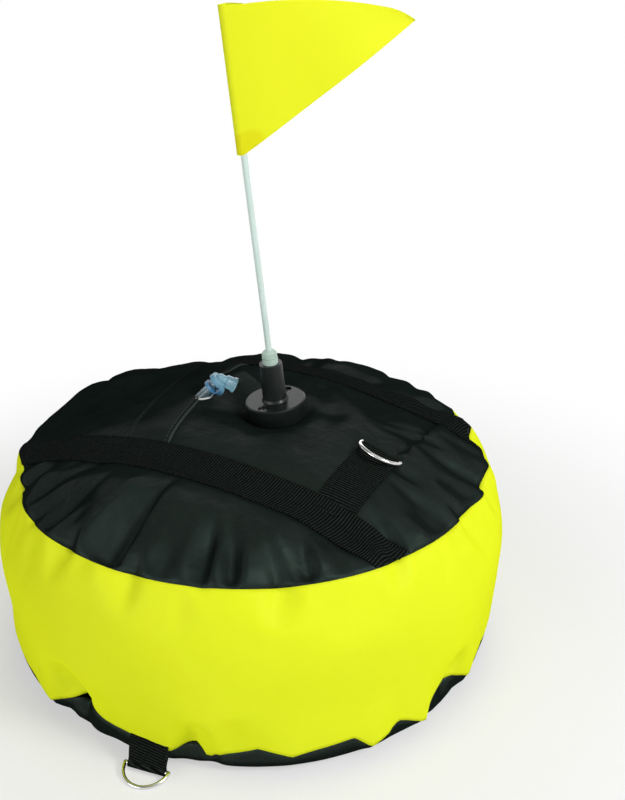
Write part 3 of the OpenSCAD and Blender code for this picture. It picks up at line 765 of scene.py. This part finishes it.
def pennant_place(u, v):
    back = [(SLEEVE_W * (1 - t), SLEEVE_R * float(ease(1, 0, 1 - t)) + 0.0008) for t in np.linspace(0, 1, 8)]
    round_rod = [(-LUFF_OUT * math.sin(a), SLEEVE_R * math.cos(a)) for a in np.linspace(0.15, math.pi - 0.15, 12)]
    front = [(FLY * t, -SLEEVE_R * float(1 - ease(0, 0.07, FLY * t))) for t in np.linspace(0, 0.998, 90)]
    path = np.array(back + round_rod + front)
    spot = u * (len(path) - 1)
    fly = np.interp(spot, np.arange(len(path)), path[:, 0])
    off = np.interp(spot, np.arange(len(path)), path[:, 1])
    along = np.maximum(fly, 0) / FLY
    low = ROD_TOP - HOIST + along * (HOIST - TIP_DROP)
    nose = TIP_H * np.clip((along - NOSE_FROM) / (1 - NOSE_FROM), 0, 1) ** 2
    high = ROD_TOP - along * (TIP_DROP - TIP_H) - nose + 4 * EDGE_RISE * along * (1 - along)
    up = low + v * (high - low) + HEAD_RISE * v * (1 - ease(0.0, 0.1, along))
    off = off + CURL_R - np.sqrt(CURL_R ** 2 - np.maximum(fly, 0) ** 2)
    off = off + FLUTTER * np.sin(along * 7.5 + 2.2 * v) * ease(0.1, 0.6, along)
    return mast_foot + fly[:, :, None] * fly_dir + off[:, :, None] * off_dir + up[:, :, None] * mast_up


pennant = strip("cloth_pennant", 109, 40, pennant_place, PENNANT_T, (0.142, HOIST))
pennant_cloth = cloth_material("pennant_cloth", dark=(0.81, 0.865, 0.016), light=(0.85, 0.89, 0.022), rough=0.5,
                               gloss=0.1, sheen=(1.0, 1.0, 0.8), pitch=0.0006, weave=0.08, crinkle=0.04, flow=True)
# The cloth is doubled in a small patch at the foot of the luff, and looks a little deeper there.
tree = pennant_cloth.node_tree
place = add(tree, "ShaderNodeTexCoord")
to_foot = add(tree, "ShaderNodeMapping", [(place.outputs["UV"], "Vector")], vector_type="TEXTURE",
              Location=(0.026, 0, 0), Scale=(0.015, 0.016, 1))
far = add(tree, "ShaderNodeVectorMath", [(to_foot.outputs[0], 0)], operation="LENGTH")
colour = tree.nodes["Principled BSDF"].inputs["Base Color"]
tree.links.new(laid_over(tree, ramp(tree, far.outputs["Value"], 1.05, 0.85), colour.links[0].from_socket,
                         (0.79, 0.77, 0.010)), colour)
pennant.data.materials.append(pennant_cloth)
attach(pennant, "pennant")
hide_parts("pennant")


# Studio: a pale sweep of floor, four broad soft lamps and a room with white walls, with the camera where the
# photograph was taken from.
def shown_rays(tree):
    seen = add(tree, "ShaderNodeLightPath").outputs
    return maths(tree, "MAXIMUM", maths(tree, "MAXIMUM", seen["Is Camera Ray"], seen["Is Glossy Ray"]),
                 seen["Is Transmission Ray"])


bpy.ops.object.select_all(action="DESELECT")
bpy.ops.mesh.primitive_plane_add(size=16)
floor = bpy.context.object
floor.name = "studio_floor"
floor_white, tree, shader = new_finish("floor_white")
shader.inputs["Base Color"].default_value = (0.86, 0.86, 0.86, 1)
shader.inputs["Roughness"].default_value = 0.8
shader.inputs["Specular IOR Level"].default_value = 0.0
place = add(tree, "ShaderNodeTexCoord")
away = add(tree, "ShaderNodeVectorMath", [(place.outputs["Object"], 0)], operation="LENGTH")
sweep = ramp(tree, away.outputs["Value"], 0.20, 0.56, 0.5, 1.0, smooth=True)
glow = add(tree, "ShaderNodeEmission", Strength=1.0)
both = add(tree, "ShaderNodeMixShader", [(maths(tree, "MULTIPLY", shown_rays(tree), sweep), 0),
                                         (shader.outputs[0], 1), (glow.outputs[0], 2)])
tree.links.new(both.outputs[0], tree.nodes["Material Output"].inputs["Surface"])
floor.data.materials.append(floor_white)

room = bpy.data.worlds.new("studio_room")
bpy.context.scene.world = room
room.use_nodes = True
tree = room.node_tree
back = tree.nodes["Background"]
back.inputs["Color"].default_value = (1, 1, 1, 1)
way = add(tree, "ShaderNodeTexCoord")
height = add(tree, "ShaderNodeSeparateXYZ", [(way.outputs["Generated"], "Vector")])
wall = ramp(tree, height.outputs["Z"], 0.30, 0.55, 1.0, 0.0, smooth=True)
white = maths(tree, "MULTIPLY", shown_rays(tree), wall)
tree.links.new(ramp(tree, white, 0.0, 1.0, 0.22, 1.0), back.inputs["Strength"])

VIEW_AZ = math.radians(33)


def lamp(name, azimuth, elevation, distance, size, power):
    light = bpy.data.lights.new(name, "AREA")
    light.energy, light.size = power, size
    holder = bpy.data.objects.new(name, light)
    bpy.context.scene.collection.objects.link(holder)
    a, e = VIEW_AZ + math.radians(azimuth), math.radians(elevation)
    aim = Vector((math.sin(a) * math.cos(e), -math.cos(a) * math.cos(e), math.sin(e)))
    holder.location = Vector((0, 0, 0.15)) + aim * distance
    holder.rotation_euler = aim.to_track_quat("Z", "Y").to_euler()


lamp("lamp_right", azimuth=50, elevation=34, distance=1.8, size=0.6, power=18.5)
lamp("lamp_left", azimuth=-50, elevation=8, distance=1.9, size=1.2, power=14)
lamp("lamp_above", azimuth=70, elevation=74, distance=2.0, size=1.5, power=7)
lamp("lamp_back", azimuth=175, elevation=12, distance=2.2, size=1.4, power=8)

eye = bpy.data.cameras.new("photo_camera")
eye.lens, eye.sensor_width = 56.25, 36
camera = bpy.data.objects.new("photo_camera", eye)
bpy.context.scene.collection.objects.link(camera)
EYE, AIM, ROLL = Vector((0.4695, -0.7229, 0.6397)), Vector((0.0403, 0.0261, 0.2031)), math.radians(0.29)
camera.location = EYE
camera.rotation_euler = (AIM - EYE).to_track_quat("-Z", "Y").to_euler()
camera.rotation_euler.rotate_axis("Z", ROLL)
bpy.context.scene.camera = camera
bpy.context.scene.view_settings.view_transform = "Standard"
